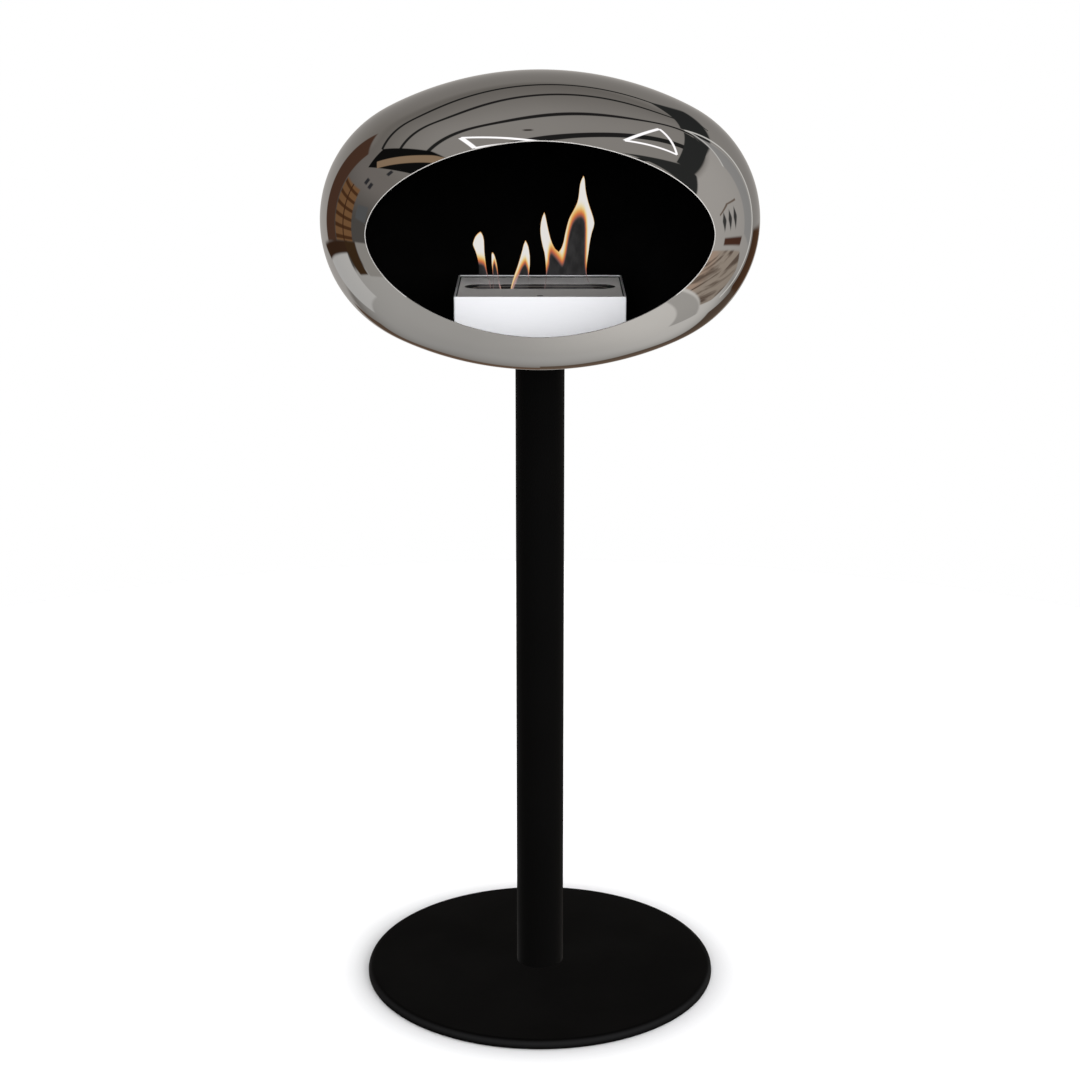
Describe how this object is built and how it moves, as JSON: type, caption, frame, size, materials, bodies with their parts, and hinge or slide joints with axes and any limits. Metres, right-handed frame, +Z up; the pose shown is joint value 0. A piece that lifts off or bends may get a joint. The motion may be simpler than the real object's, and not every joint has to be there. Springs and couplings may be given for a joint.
{
  "type": "floor-standing bioethanol fireplace",
  "caption": "Bioethanol fireplace: a flattened mirror dome with an oval mouth on a pole and round base, holding a slotted burner with a sliding damper.",
  "frame": {"origin": "on the floor, at the centre of the underlay's underside, on the pole's axis", "axes": "+Z up along the pole, +X to the right of a person facing the fire, and the mouth of the dome faces -Y"},
  "size_m": [0.524, 0.487, 1.1565],
  "materials": {
    "rubber": "matt",
    "black_powder_coat": "satin black",
    "plated_steel": "zinc plated",
    "polished_dome": "mirror polished outside, matt black inside",
    "polished_housing": "polished",
    "satin_stainless": "satin",
    "ceramic_fibre": "soft fibre"
  },
  "bodies": {
    "stand": {"base_underlay": "rubber", "base_plate": "black_powder_coat", "base_screws": "plated_steel", "pole_bottom_plug": "plated_steel", "pole_tube": "black_powder_coat", "pole_top_plug": "plated_steel", "dome_saddle": "black_powder_coat", "dome_lower_half": "polished_dome", "dome_upper_half": "polished_dome", "clamp_disc": "plated_steel", "dome_washers": "plated_steel", "dome_screws": "plated_steel", "tray_pillars": "plated_steel", "tray_screws": "plated_steel", "burner_tray": "black_powder_coat"},
    "burner": {"burner_housing": "polished_housing"},
    "tank": {"fuel_tank": "satin_stainless", "ceramic_wool": "ceramic_fibre", "wool_mesh": "satin_stainless"},
    "lid": {"top_plate": "satin_stainless", "left_rail": "satin_stainless", "right_rail": "satin_stainless"},
    "damper": {"damper_plate": "satin_stainless"}
  },
  "joints": [
    {"name": "burner_lift", "type": "slide", "parent": "stand", "child": "burner", "axis": [0, 0, 1], "range_m": [0, 0.06]},
    {"name": "tank_lift", "type": "slide", "parent": "burner", "child": "tank", "axis": [0, 0, 1], "range_m": [0, 0.065]},
    {"name": "lid_lift", "type": "slide", "parent": "tank", "child": "lid", "axis": [0, 0, 1], "range_m": [0, 0.03]},
    {"name": "damper_slide", "type": "slide", "parent": "lid", "child": "damper", "axis": [0, -1, 0], "range_m": [0, 0.038]}
  ]
}
